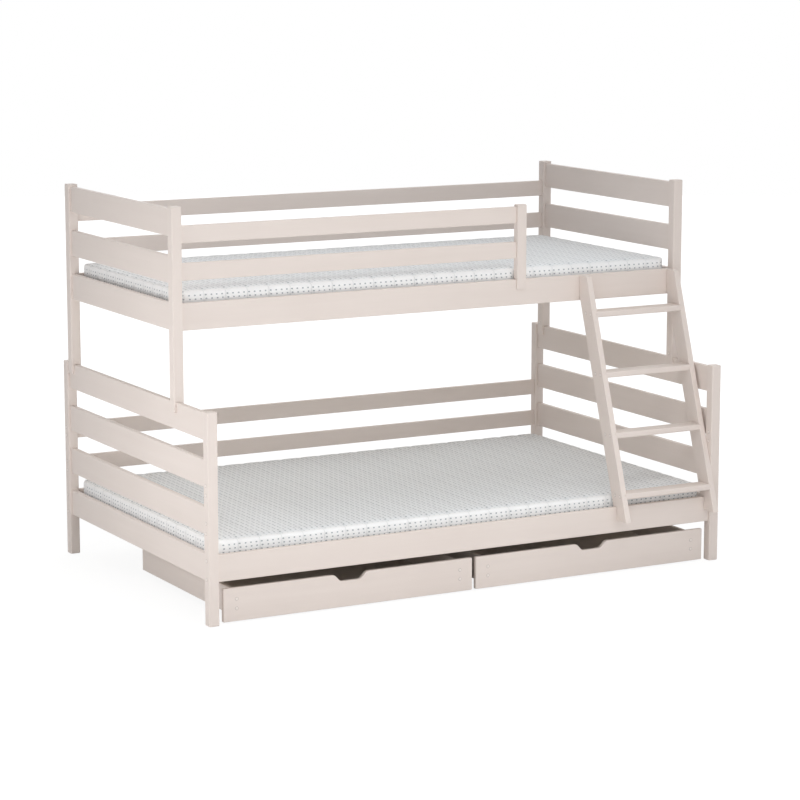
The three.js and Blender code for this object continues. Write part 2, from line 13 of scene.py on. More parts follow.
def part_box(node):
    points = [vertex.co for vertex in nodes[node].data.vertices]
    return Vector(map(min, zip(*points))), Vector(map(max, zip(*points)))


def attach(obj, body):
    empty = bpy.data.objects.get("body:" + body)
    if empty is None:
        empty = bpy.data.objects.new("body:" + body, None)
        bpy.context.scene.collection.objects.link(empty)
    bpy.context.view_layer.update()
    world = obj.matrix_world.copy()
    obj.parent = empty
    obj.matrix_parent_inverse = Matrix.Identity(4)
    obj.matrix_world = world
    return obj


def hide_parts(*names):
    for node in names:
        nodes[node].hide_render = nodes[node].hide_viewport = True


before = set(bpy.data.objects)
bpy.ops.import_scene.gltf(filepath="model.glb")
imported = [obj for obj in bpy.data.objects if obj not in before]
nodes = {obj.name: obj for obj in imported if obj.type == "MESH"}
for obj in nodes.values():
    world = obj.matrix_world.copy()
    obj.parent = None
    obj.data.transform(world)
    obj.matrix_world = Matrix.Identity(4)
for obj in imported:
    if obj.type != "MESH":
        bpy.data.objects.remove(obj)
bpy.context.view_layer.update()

# %% [markdown]
# The photograph was taken from the left front, a little above the upper mattress, with a long lens.
# A long lens far away keeps the upright posts nearly parallel. The place, the turn and the lens of
# the camera were fitted to about thirty corners of the bed.

# %% Place the camera
YAW = math.radians(28.69)
PITCH = math.radians(9.91)
CAMERA_PLACE = (-4.7604, -8.7461, 2.3371)
FOCAL_PIXELS = 2727.7
PICTURE_WIDTH = 800

camera = bpy.data.objects.new("camera", bpy.data.cameras.new("camera"))
bpy.context.scene.collection.objects.link(camera)
camera.location = CAMERA_PLACE
camera.rotation_euler = (math.radians(90) - PITCH, 0, -YAW)
camera.data.lens = FOCAL_PIXELS / PICTURE_WIDTH * camera.data.sensor_width
camera.data.clip_end = 100
bpy.context.scene.camera = camera
print("lens", round(camera.data.lens, 1), "mm")

# %% [markdown]
# The world and the finishes are small graphs of nodes. These helpers add one node, link what is
# given as a socket, and set what is given as a number. With them a graph reads almost like a
# formula.

# %% Helpers for graphs of nodes
WHITE = (1, 1, 1, 1)


def put(tree, value, socket):
    if isinstance(value, bpy.types.NodeSocket):
        tree.links.new(value, socket)
    else:
        socket.default_value = value


def node(tree, kind, inputs=(), **settings):
    made = tree.nodes.new(kind)
    for name, value in settings.items():
        setattr(made, name, value)
    for key, value in dict(inputs).items():
        put(tree, value, made.inputs[key])
    return made


def calc(tree, operation, a, b=0.0, c=0.0):
    made = tree.nodes.new("ShaderNodeMath")
    made.operation = operation
    for value, socket in zip((a, b, c), made.inputs):
        put(tree, value, socket)
    return made.outputs[0]


print("graph helpers ready")

# %% [markdown]
# The soft light that comes from all round is the world's. It is like a huge tent of cloth that is
# brightest above, behind and to the right of the bed, which lights the mattress tops and leaves the
# faces inside the bed dim. The tent's strength follows from how near a direction lies to its
# brightest place. What the camera sees of the world, also in a gloss, is plain white.

# %% Stretch the tent of light
BRIGHTEST = (0.50, 0.58, 0.64)
TENT_FALLOFF = 2.2
TENT_STRENGTH = 1.28
TENT_LEAST = 0.03

world = bpy.data.worlds.new("studio")
bpy.context.scene.world = world
world.use_nodes = True
sky = world.node_tree
sky.nodes.clear()
direction = node(sky, "ShaderNodeTexCoord").outputs["Generated"]
towards = node(sky, "ShaderNodeVectorMath", {0: direction, 1: BRIGHTEST}, operation="DOT_PRODUCT")
nearness = calc(sky, "MULTIPLY_ADD", towards.outputs["Value"], 0.5, 0.5)
strength = calc(sky, "MULTIPLY_ADD", calc(sky, "POWER", nearness, TENT_FALLOFF), TENT_STRENGTH,
                TENT_LEAST)
tent = node(sky, "ShaderNodeBackground", {"Color": WHITE, "Strength": strength}).outputs[0]
backdrop = node(sky, "ShaderNodeBackground", {"Color": WHITE}).outputs[0]
rays = node(sky, "ShaderNodeLightPath").outputs
in_gloss = calc(sky, "MAXIMUM", rays["Is Glossy Ray"], rays["Is Transmission Ray"])
seen = calc(sky, "MAXIMUM", rays["Is Camera Ray"], in_gloss)
room = node(sky, "ShaderNodeMixShader", {0: seen, 1: tent, 2: backdrop}).outputs[0]
node(sky, "ShaderNodeOutputWorld", {"Surface": room})
print("world", world.name, "with", len(sky.nodes), "nodes")

# %% [markdown]
# The front faces get their light from two long softboxes, a high one and a low one, and the left
# end gets its own from a smaller one. All three hang close to the bed, because the light of a near
# lamp fades towards the back.

# %% Hang the softboxes


def softbox(name, place, aim, width, height, power):
    lamp = bpy.data.lights.new(name, "AREA")
    lamp.shape = "RECTANGLE"
    lamp.size = width
    lamp.size_y = height
    lamp.energy = power
    holder = bpy.data.objects.new(name, lamp)
    holder.location = place
    holder.rotation_euler = (Vector(aim) - Vector(place)).to_track_quat("-Z", "Y").to_euler()
    bpy.context.scene.collection.objects.link(holder)
    print(name, power, "watts")


softbox("high light", place=(-0.25, -2.0, 2.3), aim=(-0.15, 0.0, 0.8), width=3.4, height=0.9,
        power=19.5)
softbox("low light", place=(-0.35, -1.9, 0.5), aim=(-0.25, 0.0, 0.45), width=3.4, height=0.7,
        power=11.5)
softbox("left light", place=(-2.5, -0.5, 0.8), aim=(-1.04, 0.0, 0.7), width=1.0, height=1.0,
        power=12.5)
bpy.context.scene.view_settings.view_transform = "Standard"

# %% [markdown]
# Every finish starts from the same few steps: a new material with its roughness, a place in metres
# to draw a pattern on, soft noise, a change of scale, a blend of two colours, and a relief that
# bends the light as if the surface rose and fell.

# %% Helpers for finishes


def new_material(name, roughness, color=None):
    made = bpy.data.materials.new(name)
    made.use_nodes = True
    shader = made.node_tree.nodes["Principled BSDF"]
    shader.inputs["Roughness"].default_value = roughness
    if color:
        shader.inputs["Base Color"].default_value = (*color, 1)
    return made, made.node_tree, shader


def place_of(tree, scale=(1, 1, 1)):
    coords = node(tree, "ShaderNodeTexCoord").outputs["Object"]
    return node(tree, "ShaderNodeMapping", {"Vector": coords, "Scale": scale}).outputs[0]


def noise(tree, where, scale, detail=3.0, roughness=0.55):
    return node(tree, "ShaderNodeTexNoise", {"Vector": where, "Scale": scale, "Detail": detail,
                                             "Roughness": roughness}).outputs["Fac"]


def remap(tree, value, low, high, to_low, to_high, kind="LINEAR"):
    return node(tree, "ShaderNodeMapRange", {"Value": value, "From Min": low, "From Max": high,
                                             "To Min": to_low, "To Max": to_high},
                interpolation_type=kind).outputs["Result"]


def blend_colors(tree, amount, first, second):
    made = node(tree, "ShaderNodeMix", data_type="RGBA")
    put(tree, amount, made.inputs[0])
    for value, socket in ((first, made.inputs[6]), (second, made.inputs[7])):
        put(tree, value if isinstance(value, bpy.types.NodeSocket) else (*value, 1), socket)
    return made.outputs[2]


def bump(tree, height, distance, strength, below=None):
    made = node(tree, "ShaderNodeBump", {"Height": height, "Distance": distance,
                                         "Strength": strength})
    if below:
        tree.links.new(below, made.inputs["Normal"])
    return made.outputs[0]


print("finish helpers ready")

# %% [markdown]
# The paint is satin and opaque, but the softwood still shows through it as a faint grain that
# runs along each board. Noise that is stretched along the board makes the grain. A second, fine
# noise is the texture that a roller leaves. There are three versions, one for each direction
# that a board can run in.

# %% Satin paint over wood
PAINT_LIGHT = (0.820, 0.737, 0.688)
PAINT_DEEP = (0.785, 0.700, 0.650)
GRAIN_ACROSS = 38.0
GRAIN_ALONG = 1.6
GRAIN_RELIEF = 0.0006
ROLLER_RELIEF = 0.00012


def painted_wood(name, along):
    made, tree, shader = new_material(name, 0.45)
    stretch = [GRAIN_ACROSS] * 3
    stretch["XYZ".index(along)] = GRAIN_ALONG
    grain = noise(tree, place_of(tree, stretch), 1.0, detail=6.0, roughness=0.6)
    broad = noise(tree, place_of(tree), 2.2, detail=2.0)
    roller = noise(tree, place_of(tree), 620.0, detail=2.0)
    tone = calc(tree, "ADD", calc(tree, "MULTIPLY", grain, 0.45),
                calc(tree, "MULTIPLY", broad, 0.55))
    color = blend_colors(tree, remap(tree, tone, 0.35, 0.65, 0.0, 1.0), PAINT_DEEP, PAINT_LIGHT)
    put(tree, color, shader.inputs["Base Color"])
    put(tree, remap(tree, broad, 0.3, 0.7, 0.40, 0.52), shader.inputs["Roughness"])
    shader.inputs["Specular IOR Level"].default_value = 0.3
    relief = bump(tree, grain, GRAIN_RELIEF, 0.5)
    put(tree, bump(tree, roller, ROLLER_RELIEF, 0.4, below=relief), shader.inputs["Normal"])
    return made


paint = {axis: painted_wood("satin paint along " + axis, axis) for axis in "XYZ"}
print("paints", [m.name for m in paint.values()])

# %% [markdown]
# The slats are bare whitewood. Rings of pale and darker wood come from a wave that noise bends,
# and they are stretched along the slat. Knots are round spots where the wood turns brown. The
# drawers' bottom panels are plywood, the same idea with a flatter, rotary-cut figure.

# %% Bare pine and plywood
PINE_PALE = (0.80, 0.69, 0.52)
PINE_DARK = (0.66, 0.52, 0.35)
PLY_PALE = (0.76, 0.62, 0.43)
PLY_DARK = (0.66, 0.50, 0.31)
KNOT_BROWN = (0.23, 0.11, 0.05)
KNOTS_PER_METRE = 4.2
RING_STRETCH = 0.045
PORES_PER_METRE = 420
WOOD_RELIEF = 0.0005


def bare_wood(name, along, pale, dark, bend):
    made, tree, shader = new_material(name, 0.62)
    stretch = [1.0, 1.0, 1.0]
    stretch["XYZ".index(along)] = RING_STRETCH
    where = place_of(tree, stretch)
    rings = node(tree, "ShaderNodeTexWave", {"Vector": where, "Scale": 26.0, "Distortion": bend,
                                             "Detail": 3.0, "Detail Scale": 1.2},
                 wave_type="RINGS", rings_direction="SPHERICAL").outputs["Fac"]
    pores = noise(tree, place_of(tree, [s * PORES_PER_METRE for s in stretch]), 1.0, detail=4.0,
                  roughness=0.7)
    spots = node(tree, "ShaderNodeTexVoronoi", {"Vector": place_of(tree), "Randomness": 1.0,
                                                "Scale": KNOTS_PER_METRE}).outputs["Distance"]
    knot = remap(tree, spots, 0.03, 0.08, 1.0, 0.0, "SMOOTHSTEP")
    figure = calc(tree, "ADD", calc(tree, "MULTIPLY", rings, 0.6),
                  calc(tree, "MULTIPLY", pores, 0.4))
    plain = blend_colors(tree, remap(tree, figure, 0.2, 0.9, 0.0, 0.8), pale, dark)
    put(tree, blend_colors(tree, calc(tree, "MULTIPLY", knot, 0.8), plain, KNOT_BROWN),
        shader.inputs["Base Color"])
    put(tree, remap(tree, pores, 0.2, 0.8, 0.52, 0.72), shader.inputs["Roughness"])
    put(tree, bump(tree, figure, WOOD_RELIEF, 0.6), shader.inputs["Normal"])
    return made


pine = bare_wood("bare pine", "Y", PINE_PALE, PINE_DARK, 3.0)
plywood = bare_wood("birch plywood", "X", PLY_PALE, PLY_DARK, 7.0)
print("woods", pine.name, plywood.name)

# %% [markdown]
# Inside a drawer the plywood is painted like the rest, and its underside stays bare. The panel is
# one solid, so the material itself asks which way the surface faces, and paints it where it faces
# upwards.

# %% Paint the upper face of the plywood


def paint_upper_face(material):
    tree = material.node_tree
    socket = tree.nodes["Principled BSDF"].inputs["Base Color"]
    turn = node(tree, "ShaderNodeTexCoord").outputs["Normal"]
    rise = node(tree, "ShaderNodeSeparateXYZ", {"Vector": turn}).outputs["Z"]
    upward = calc(tree, "GREATER_THAN", rise, 0.5)
    put(tree, blend_colors(tree, upward, socket.links[0].from_socket, PAINT_LIGHT), socket)


paint_upper_face(plywood)
print(plywood.name, "painted on its upper face")

# %% [markdown]
# Each wheelset is two moulded wheels on one steel rod, so its finish changes with the distance
# from the line that it turns about. Object coordinates are metres here, which makes the test
# simple: what lies further out than the rod is moulded, and what lies further out still is the
# tread that rolls on the floor.

# %% Wheels and their axles
ROD_REACH = 0.0046
TREAD_REACH = 0.0125
MOULDED = (0.035, 0.035, 0.038)
MOULDED_SCUFFED = (0.075, 0.074, 0.074)
TREAD_GREY = (0.16, 0.155, 0.15)
STEEL = (0.62, 0.62, 0.64)


def wheel_finish(name, axis_y, axis_z):
    made, tree, shader = new_material(name, 0.45)
    parts = node(tree, "ShaderNodeSeparateXYZ", {"Vector": place_of(tree)}).outputs
    off_y = calc(tree, "SUBTRACT", parts["Y"], axis_y)
    off_z = calc(tree, "SUBTRACT", parts["Z"], axis_z)
    reach = calc(tree, "SQRT", calc(tree, "ADD", calc(tree, "MULTIPLY", off_y, off_y),
                                    calc(tree, "MULTIPLY", off_z, off_z)))
    moulded = calc(tree, "GREATER_THAN", reach, ROD_REACH)
    tread = calc(tree, "GREATER_THAN", reach, TREAD_REACH)
    scuff = noise(tree, place_of(tree), 240.0, detail=4.0)
    wheel = blend_colors(tree, tread, blend_colors(tree, scuff, MOULDED, MOULDED_SCUFFED),
                         TREAD_GREY)
    put(tree, blend_colors(tree, moulded, STEEL, wheel), shader.inputs["Base Color"])
    put(tree, calc(tree, "SUBTRACT", 1.0, moulded), shader.inputs["Metallic"])
    put(tree, remap(tree, scuff, 0.3, 0.7, 0.34, 0.55), shader.inputs["Roughness"])
    turned = noise(tree, place_of(tree, (1500, 30, 30)), 1.0, detail=2.0)
    put(tree, bump(tree, turned, 0.0001, 0.4), shader.inputs["Normal"])
    return made


def middle(name):
    low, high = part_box(name)
    return (low + high) / 2


wheel_nodes = [n for n in nodes if "wheelset" in n]
for n in wheel_nodes:
    centre = middle(n)
    nodes[n].material_slots[0].material = wheel_finish("wheels of " + n, centre.y, centre.z)
print(len(wheel_nodes), "wheelsets finished")

# %% [markdown]
# Now every board gets the paint whose grain runs along its longest side, and the bare parts get
# their wood.

# %% Paint the frame


def long_axis(name):
    low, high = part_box(name)
    size = high - low
    return "XYZ"[max(range(3), key=lambda i: size[i])]


wooden = [n for n in nodes if "mattress" not in n and "wheelset" not in n]
for name in wooden:
    finish = paint[long_axis(name)]
    if "slats" in name:
        finish = pine
    elif "drawer_bottom" in name:
        finish = plywood
    nodes[name].material_slots[0].material = finish
print("finished", len(wooden), "wooden parts")

# %% [markdown]
# The mattress cover is a white knit with small blue-grey dots in straight rows, four dots from
# one seam to the next. The mattress carries a UV map that counts dots, so the whole part of u is
# the column of a dot and the whole part of v its row, and one graph draws both the top and the
# border. One attribute says where the top is, where each column of dots lies in a faint rib.
# Another fades the dots out on the rolled edge, which is plain in the photograph.

# %% Rows of dots in faint ribs
DOT_HALF_WIDTH = 0.18  # of the way from dot to dot, as are the next four
DOT_HALF_LENGTH_BORDER = 0.21
DOT_HALF_LENGTH_TOP = 0.24
ROW_LEAN = 0.12
DOT_DRIFT = 0.2
RIB_SHARE = 0.18


def off_middle(tree, value):
    return calc(tree, "SUBTRACT", calc(tree, "FRACT", value), 0.5)


def square(tree, value):
    return calc(tree, "MULTIPLY", value, value)


def band(tree, value, full, none):
    return remap(tree, calc(tree, "ABSOLUTE", value), full, none, 1.0, 0.0, "SMOOTHSTEP")


def dots_and_ribs(tree, parts, on_top):
    drift = noise(tree, place_of(tree), 26.0, detail=1.0)
    row = calc(tree, "FLOOR", parts["Y"])
    lean = calc(tree, "MULTIPLY", calc(tree, "FLOORED_MODULO", row, 2.0), ROW_LEAN)
    column = off_middle(tree, calc(tree, "ADD", calc(tree, "ADD", parts["X"], lean),
                                   calc(tree, "MULTIPLY", drift, DOT_DRIFT)))
    across = calc(tree, "MULTIPLY", column, 1 / DOT_HALF_WIDTH)
    length = remap(tree, on_top, 0.0, 1.0, DOT_HALF_LENGTH_BORDER, DOT_HALF_LENGTH_TOP)
    along = calc(tree, "DIVIDE", off_middle(tree, parts["Y"]), length)
    reach = calc(tree, "ADD", square(tree, across), square(tree, along))
    dot = remap(tree, reach, 0.5, 1.3, 1.0, 0.0, "SMOOTHSTEP")
    dotted = node(tree, "ShaderNodeAttribute", attribute_name="dotted").outputs["Fac"]
    rib = calc(tree, "MULTIPLY", band(tree, column, 0.05, 0.28), on_top)
    return calc(tree, "MAXIMUM", calc(tree, "MULTIPLY", dot, dotted),
                calc(tree, "MULTIPLY", rib, RIB_SHARE))


print("dots", 2 * DOT_HALF_WIDTH, "of their pitch wide")

# %% [markdown]
# Round the dots comes the rest of the fabric: a grey line along each seam, a slight cloudiness, a
# soft sheen, and the relief of the stitches, into which the dots and seams are sunk. The border's
# white is painted a little lighter than the top's, as painted light against the shade it lies in
# behind the rails.

# %% Dotted knit fabric
KNIT_TOP = (0.920, 0.955, 0.980)
# The border's white is the knit's own white, painted lighter as a lift against the shade behind the
# rails.
KNIT_BORDER_WITH_PAINTED_LIGHT = (0.975, 0.985, 0.990)
KNIT_SHADE = 0.97
DOT_GREY = (0.38, 0.42, 0.45)
DOT_SHARE, SEAM_SHARE = 0.95, 0.45  # how much of the grey each one takes
DOT_PITCH = 0.0206
DOTS_PER_SEAM = 4
SEAM_PITCH = DOT_PITCH * DOTS_PER_SEAM


def shade_of(color):
    return [c * KNIT_SHADE for c in color]


def knit():
    made, tree, shader = new_material("dotted knit", 0.92)
    cells = node(tree, "ShaderNodeUVMap", uv_map="dots").outputs[0]
    parts = node(tree, "ShaderNodeSeparateXYZ", {"Vector": cells}).outputs
    on_top = node(tree, "ShaderNodeAttribute", attribute_name="on_top").outputs["Fac"]
    dots = dots_and_ribs(tree, parts, on_top)
    seam = calc(tree, "ADD", calc(tree, "DIVIDE", parts["X"], DOTS_PER_SEAM), 0.5)
    seam_line = band(tree, off_middle(tree, seam), 0.004, 0.013)
    cloudy = noise(tree, place_of(tree), 9.0, detail=3.0)
    # The border takes its lighter white, which is partly painted light.
    plain = blend_colors(tree, on_top, KNIT_BORDER_WITH_PAINTED_LIGHT, KNIT_TOP)
    shaded = blend_colors(tree, on_top, shade_of(KNIT_BORDER_WITH_PAINTED_LIGHT), shade_of(KNIT_TOP))
    white = blend_colors(tree, cloudy, plain, shaded)
    sewn = blend_colors(tree, calc(tree, "MULTIPLY", seam_line, SEAM_SHARE), white, DOT_GREY)
    put(tree, blend_colors(tree, calc(tree, "MULTIPLY", dots, DOT_SHARE), sewn, DOT_GREY),
        shader.inputs["Base Color"])
    shader.inputs["Sheen Weight"].default_value = 0.7
    shader.inputs["Sheen Roughness"].default_value = 0.6
    shader.inputs["Specular IOR Level"].default_value = 0.2
    stitch = node(tree, "ShaderNodeTexWave", {"Vector": place_of(tree), "Scale": 330.0,
                                              "Distortion": 1.2}).outputs["Fac"]
    soft = bump(tree, stitch, 0.0003, 0.35)
    dent = calc(tree, "SUBTRACT", 1.0, calc(tree, "MAXIMUM", dots, seam_line))
    put(tree, bump(tree, dent, 0.0012, 0.6, below=soft), shader.inputs["Normal"])
    return made


knit_cover = knit()
print("fabric", knit_cover.name, "with a seam every", round(SEAM_PITCH * 1000, 1), "mm")

# %% [markdown]
# A mesh keeps its points in one long list, and numpy can move them all at once. These helpers
# fetch the points, write them back, and make sure that an operator acts on nothing by surprise.

# %% Helpers for meshes


def clear_selection():
    if bpy.context.object and bpy.context.object.mode != "OBJECT":
        bpy.ops.object.mode_set(mode="OBJECT")
    bpy.ops.object.select_all(action="DESELECT")


def apply_modifier(made, name):
    clear_selection()
    bpy.context.view_layer.objects.active = made
    made.select_set(True)
    bpy.ops.object.modifier_apply(modifier=name)


def points_of(mesh):
    flat = np.empty(len(mesh.vertices) * 3)
    mesh.vertices.foreach_get("co", flat)
    return flat.reshape(-1, 3)


def set_points(mesh, points):
    mesh.vertices.foreach_set("co", points.ravel())
    mesh.update()


print("mesh helpers ready")

# %% [markdown]
# A mattress starts as a flat grid that is extruded downwards, which closes it into a block. The
# grid lines are then moved so that they lie close together at the edges, where the cover bends,
# and far apart in the middle, where every sixth line is a seam.

# %% Model a block with chosen grid lines
NEAR_EDGE = [0.0, 0.0028, 0.0062, 0.0098, 0.0136]
KEPT_FREE = 0.4  # of a step, between the lines near an edge and the others
LINES_PER_SEAM = 6
BORDER_LINES = 0.011  # between two lines up the border


def spaced(length, step, start):
    first = math.ceil((NEAR_EDGE[-1] + start) / step + KEPT_FREE)
    last = math.floor((length - NEAR_EDGE[-1] + start) / step - KEPT_FREE)
    inside = [i * step - start for i in range(first, last + 1)]
    return np.array(NEAR_EDGE + inside + [length - v for v in reversed(NEAR_EDGE)])


def block(name, low, high, step):
    size = high - low
    lines = [spaced(size.x, step, -size.x / 2), spaced(size.y, step, size.x / 2),
             spaced(size.z, BORDER_LINES, -size.z / 2)]
    counts = [len(line) - 1 for line in lines]
    clear_selection()
    bpy.ops.mesh.primitive_grid_add(x_subdivisions=counts[0], y_subdivisions=counts[1], size=1,
                                    location=(0.5, 0.5, 1.0))
    made = bpy.context.object
    made.name = name
    bpy.ops.object.transform_apply(location=True, rotation=False, scale=False)
    bpy.ops.object.mode_set(mode="EDIT")
    bpy.ops.mesh.select_all(action="SELECT")
    for _ in range(counts[2]):
        bpy.ops.mesh.extrude_region_move(
            TRANSFORM_OT_translate={"value": (0, 0, -1 / counts[2])})
    bpy.ops.mesh.select_all(action="SELECT")
    bpy.ops.mesh.normals_make_consistent(inside=False)
    bpy.ops.object.mode_set(mode="OBJECT")
    unit = points_of(made.data)
    spread = [np.interp(unit[:, i], np.linspace(0, 1, counts[i] + 1), lines[i]) for i in range(3)]
    set_points(made.data, np.stack(spread, 1))
    return made, np.array(size)


print("block helpers ready, a grid line every", round(SEAM_PITCH / LINES_PER_SEAM * 1000, 1), "mm")

# %% [markdown]
# The cover is rolled over the foam's edges, and the four upright corners are rounder still. Both
# are made the same way: each point of a cube is moved to its matching point of a ball, and each
# point of a square to its matching point of a disc.

# %% Round the edges and corners
EDGE = 0.013
CORNER = 0.045


def to_ball(x, y, z):
    return np.stack([
        x * np.sqrt(np.maximum(0, 1 - y * y / 2 - z * z / 2 + y * y * z * z / 3)),
        y * np.sqrt(np.maximum(0, 1 - z * z / 2 - x * x / 2 + z * z * x * x / 3)),
        z * np.sqrt(np.maximum(0, 1 - x * x / 2 - y * y / 2 + x * x * y * y / 3))], 1)


def to_disc(u, v):
    return np.stack([u * np.sqrt(1 - v * v / 2), v * np.sqrt(1 - u * u / 2)], 1)


def round_edges(points, size):
    inner = np.clip(points, EDGE, size - EDGE)
    points = inner + to_ball(*((points - inner) / EDGE).T) * EDGE
    inner = np.clip(points[:, :2], CORNER, size[:2] - CORNER)
    points[:, :2] = inner + to_disc(*((points[:, :2] - inner) / CORNER).T) * CORNER
    return points


print("edges rounded by", EDGE * 1000, "mm, corners by", CORNER * 1000, "mm")

# %% [markdown]
# The seams run up the border and straight across the top. To find them, each point needs to know
# how far along the cover it lies: round the border on the sides, and along the bed on the top.

# %% Find the seams
BORDER_REACH = 0.03


def along_cover(points, size):
    """How far along the cover each point lies, from the middle of the front, and how far in."""
    x, y = points[:, 0], points[:, 1]
    insets = np.stack([y, size[1] - y, size[0] - x, x], 1)
    ways = np.stack([x - size[0] / 2, x - size[0] / 2, size[0] / 2 + y, -size[0] / 2 - y], 1)
    nearest = insets.argmin(1)
    nearest[insets.min(1) > BORDER_REACH] = 0
    return ways[np.arange(len(x)), nearest], insets.min(1)


def off_seam(way):
    return np.abs((way / SEAM_PITCH + 0.5) % 1 - 0.5) * SEAM_PITCH


print("halfway between two seams a point is", off_seam(np.array(SEAM_PITCH / 2)) * 1000, "mm off")

# %% [markdown]
# The foam pushes the cover outwards, and the upright seams of the border hold it back, so the
# border swells between them. A cloth simulation with inner pressure does this. The underside and
# the seams are pinned, gravity is off, and afterwards no point may have moved more than a few
# millimetres, because foam is firm.

# %% Swell the cover by simulation
BORDER_SWELL = 0.0050
TOP_SWELL = 0.0040
PINNED_UNDERSIDE = 0.004
PINNED_SEAM = 0.006
PRESSURE = 4.0
LAST_STEP = 14


def run_cloth(made, held):
    group = made.vertex_groups.new(name="held")
    group.add([int(i) for i in np.nonzero(held)[0]], 1.0, "REPLACE")
    cloth = made.modifiers.new("cover", "CLOTH")
    cloth.settings.vertex_group_mass = "held"
    cloth.settings.use_pressure = True
    cloth.settings.uniform_pressure_force = PRESSURE
    cloth.settings.effector_weights.gravity = 0.0
    cloth.settings.quality = 3
    cloth.point_cache.frame_start = 1
    cloth.point_cache.frame_end = LAST_STEP + 2
    scene = bpy.context.scene
    for step in range(1, LAST_STEP + 1):
        scene.frame_set(step)
    apply_modifier(made, "cover")
    scene.frame_set(1)
    made.vertex_groups.clear()


def swell(made, size):
    before = points_of(made.data)
    way, inset = along_cover(before, size)
    on_border = inset < BORDER_REACH
    held = (before[:, 2] < PINNED_UNDERSIDE) | (on_border & (off_seam(way) < PINNED_SEAM))
    run_cloth(made, held)
    moved = points_of(made.data) - before
    limit = np.where(on_border, BORDER_SWELL, TOP_SWELL)
    far = np.linalg.norm(moved, axis=1)
    moved *= np.minimum(1, limit / np.maximum(far, 1e-9))[:, None]
    moved[held] = 0
    set_points(made.data, before + moved)
    print(made.name, "cover moved up to", round(float(far.max()) * 1000, 1), "mm before the cap")


print("cover may swell by", BORDER_SWELL * 1000, "mm on its border")

# %% [markdown]
# After the swelling, one level of subdivision makes the surface smooth, and the seams are drawn
# in as narrow grooves, deep on the border and faint across the top.

# %% Smooth the cover and draw in its seams
GROOVE = 0.0032
TOP_GROOVE = 0.0011
GROOVE_WIDTH = 0.0075
GROOVE_FADES_FROM, GROOVE_FADES_TO = 0.02, 0.06  # metres in from the border


def subdivide(made):
    smooth = made.modifiers.new("smooth", "SUBSURF")
    smooth.levels = smooth.render_levels = 1
    apply_modifier(made, "smooth")
    bpy.ops.object.shade_smooth()


def draw_in_seams(made, size):
    points = points_of(made.data)
    way, inset = along_cover(points, size)
    near_side = np.clip((GROOVE_FADES_TO - inset) / (GROOVE_FADES_TO - GROOVE_FADES_FROM), 0, 1)
    depth = TOP_GROOVE + (GROOVE - TOP_GROOVE) * near_side
    depth *= np.exp(-(off_seam(way) / GROOVE_WIDTH) ** 2)
    normals = np.empty(len(made.data.vertices) * 3)
    made.data.vertices.foreach_get("normal", normals)
    points = points - normals.reshape(-1, 3) * depth[:, None]
    points[:, 2] = np.maximum(points[:, 2], 0)
    set_points(made.data, points)


print("seams", GROOVE * 1000, "mm deep on the border and", TOP_GROOVE * 1000, "mm on the top")

# %% [markdown]
# The UV map counts dots: across the top from the middle of the bed, and round the border along
# the cover, so that along the front and the back a column of dots runs on over the edge. The two
# attributes of the fabric are written here as well, from how far each point lies from that edge.

# %% Map the dots
TOP_ROW = 0.0202
BORDER_ROW = 0.0130
ROLLED_EDGE = 0.011
EDGE_FADE = 0.003
FACING_UP = 0.7


def add_values(mesh, name, values):
    mesh.attributes.new(name, "FLOAT", "POINT").data.foreach_set("value", values)


def map_dots(made, size):
    mesh = made.data
    points = points_of(mesh)
    way, inset = along_cover(points, size)
    to_edge = np.hypot(inset, size[2] - points[:, 2])
    add_values(mesh, "dotted", np.clip((to_edge - ROLLED_EDGE) / EDGE_FADE, 0, 1))
    add_values(mesh, "on_top", np.clip((inset - ROLLED_EDGE) / EDGE_FADE, 0, 1))
    facing = np.empty(len(mesh.polygons) * 3)
    mesh.polygons.foreach_get("normal", facing)
    flat = np.abs(facing.reshape(-1, 3)[:, 2]) > FACING_UP
    corners = np.empty(len(mesh.loops), dtype=np.int32)
    mesh.loops.foreach_get("vertex_index", corners)
    totals = np.empty(len(mesh.polygons), dtype=np.int32)
    mesh.polygons.foreach_get("loop_total", totals)
    on_flat = np.repeat(flat, totals)
    u = np.where(on_flat, points[corners, 0] - size[0] / 2, way[corners]) / DOT_PITCH
    v = np.where(on_flat, points[corners, 1] / TOP_ROW, points[corners, 2] / BORDER_ROW)
    mesh.uv_layers.new(name="dots").data.foreach_set("uv", np.stack([u, v], 1).ravel())


print("dots every", DOT_PITCH * 1000, "mm")

# %% [markdown]
# Both mattresses are made by the same steps. Each starts a little smaller than the room that the
# frame leaves for it, because it swells, and goes to its place in the bed at the end. It stands
# for the plain solid of the frame, which is hidden.

# %% Make the two mattresses
INSET = 0.002


def mattress(name):
    low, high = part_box(name)
    low, high = low + Vector((INSET, INSET, 0)), high - Vector((INSET, INSET, INSET))
    made, size = block(name + "_cover", low, high, SEAM_PITCH / LINES_PER_SEAM)
    set_points(made.data, round_edges(points_of(made.data), size))
    swell(made, size)
    subdivide(made)
    draw_in_seams(made, size)
    map_dots(made, size)
    set_points(made.data, points_of(made.data) + np.array(low))
    made.data.materials.append(knit_cover)
    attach(made, "bed_frame")
    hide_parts(name)
    print(made.name, len(made.data.polygons), "faces")


mattress("lower_mattress")
mattress("upper_mattress")

# %% [markdown]
# Screws and bolts sit in bored holes, and a small round plug, painted with the rest, closes each
# hole. One plug is modelled: a short cylinder whose rim is bevelled, standing on a thin wider
# disc, which carries a painted shadow where the gap around the plug is.

# %% Model one plug
PLUG_RADIUS = 0.0052
PLUG_DEPTH = 0.004
PLUG_PROUD = 0.0009
PLUG_BEVEL = 0.0006
# The wider disc under the plug carries a painted shadow for the gap round it.
SHADOW_DISC_RADIUS = 0.0063
SHADOW_DISC_DEPTH = 0.002
SHADOW_DISC_PROUD = 0.0002


